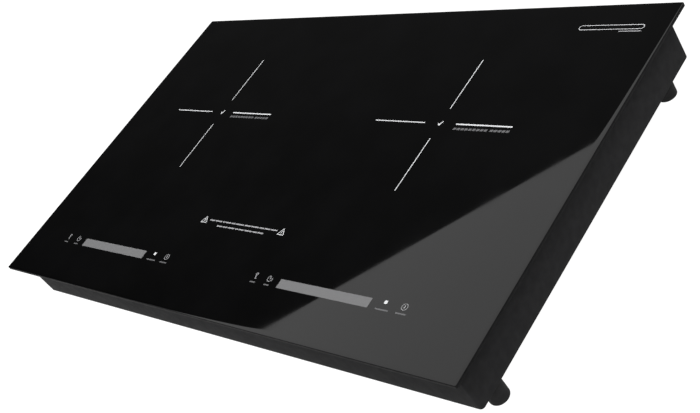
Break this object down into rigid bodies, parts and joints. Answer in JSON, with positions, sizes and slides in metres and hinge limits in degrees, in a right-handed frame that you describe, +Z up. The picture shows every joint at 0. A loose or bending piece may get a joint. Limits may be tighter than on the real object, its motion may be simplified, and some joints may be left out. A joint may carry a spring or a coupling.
{
  "type": "induction cooktop",
  "caption": "Flat black glass induction cooktop on short round feet, with slim case, side-by-side cooking zones, touch slider panels and internal coils, fans and boards.",
  "frame": {"origin": "on the surface the feet stand on, under the middle of the glass", "axes": "+X to the user's right along the long side, +Y to the back, +Z up through the glass"},
  "size_m": [0.71, 0.432, 0.0815],
  "materials": {
    "glass_ceramic": "polished black glass-ceramic, opaque printed underside",
    "glass_print": "fired white ceramic ink on the glass",
    "slider_print": "fired grey ceramic ink on the glass",
    "silicone": "matte",
    "frame_plastic": "satin moulded",
    "case_plastic": "fine texture, moulded",
    "foot_rubber": "matte",
    "screw_steel": "zinc plated",
    "spring_steel": "bright drawn wire",
    "gland_plastic": "satin nylon",
    "white_plastic": "satin",
    "carrier_plastic": "heat-resistant moulding",
    "coil_wire": "enamelled stranded wire",
    "mica": "flaked sheet",
    "ferrite": "matte pressed and fired",
    "fan_plastic": "satin moulded",
    "circuit_board": "solder-mask green laminate",
    "heatsink_aluminium": "extruded, mill finish",
    "choke_core": "coated ferrite toroid",
    "diffuser_plastic": "translucent white",
    "ribbon_plastic": "flat ribbon"
  },
  "bodies": {
    "housing": {"glass_plate": "glass_ceramic", "glass_seal": "silicone", "top_frame": "frame_plastic", "bottom_case": "case_plastic", "foot_front_left": "foot_rubber", "foot_front_right": "foot_rubber", "foot_back_left": "foot_rubber", "foot_back_right": "foot_rubber", "foot_screw_front_left": "screw_steel", "foot_screw_front_right": "screw_steel", "foot_screw_back_left": "screw_steel", "foot_screw_back_right": "screw_steel", "case_screw_1": "screw_steel", "case_screw_2": "screw_steel", "case_screw_3": "screw_steel", "case_screw_4": "screw_steel", "case_screw_5": "screw_steel", "case_screw_6": "screw_steel", "cable_gland": "gland_plastic", "gland_nut": "gland_plastic", "terminal_block": "white_plastic", "coil_carrier_left": "carrier_plastic", "coil_carrier_right": "carrier_plastic", "coil_winding_left": "coil_wire", "coil_winding_right": "coil_wire", "mica_sheet_left": "mica", "mica_sheet_right": "mica", "temperature_sensor_left": "white_plastic", "temperature_sensor_right": "white_plastic", "coil_spring_left_1": "spring_steel", "coil_spring_left_2": "spring_steel", "coil_spring_left_3": "spring_steel", "coil_spring_right_1": "spring_steel", "coil_spring_right_2": "spring_steel", "coil_spring_right_3": "spring_steel", "fan_frame_left": "fan_plastic", "fan_frame_right": "fan_plastic", "power_board_left": "circuit_board", "power_board_right": "circuit_board", "heatsink_left": "heatsink_aluminium", "heatsink_right": "heatsink_aluminium", "choke_left": "choke_core", "choke_right": "choke_core", "control_carrier_left": "white_plastic", "control_carrier_right": "white_plastic", "control_board_left": "circuit_board", "control_board_right": "circuit_board", "slider_diffuser_left": "diffuser_plastic", "slider_diffuser_right": "diffuser_plastic", "ribbon_cable_left": "ribbon_plastic", "ribbon_cable_right": "ribbon_plastic", "coil_lead_left": "silicone", "coil_lead_right": "silicone", "mains_lead_left": "silicone", "mains_lead_right": "silicone"},
    "fan_rotor_left": {"fan_impeller_left": "fan_plastic"},
    "fan_rotor_right": {"fan_impeller_right": "fan_plastic"}
  },
  "joints": [
    {"name": "fan_spin_left", "type": "hinge", "parent": "housing", "child": "fan_rotor_left", "pos_m": [-0.125, 0.085, 0.034], "axis": [0, 0, 1], "continuous": true},
    {"name": "fan_spin_right", "type": "hinge", "parent": "housing", "child": "fan_rotor_right", "pos_m": [0.11, 0.085, 0.034], "axis": [0, 0, 1], "continuous": true}
  ]
}
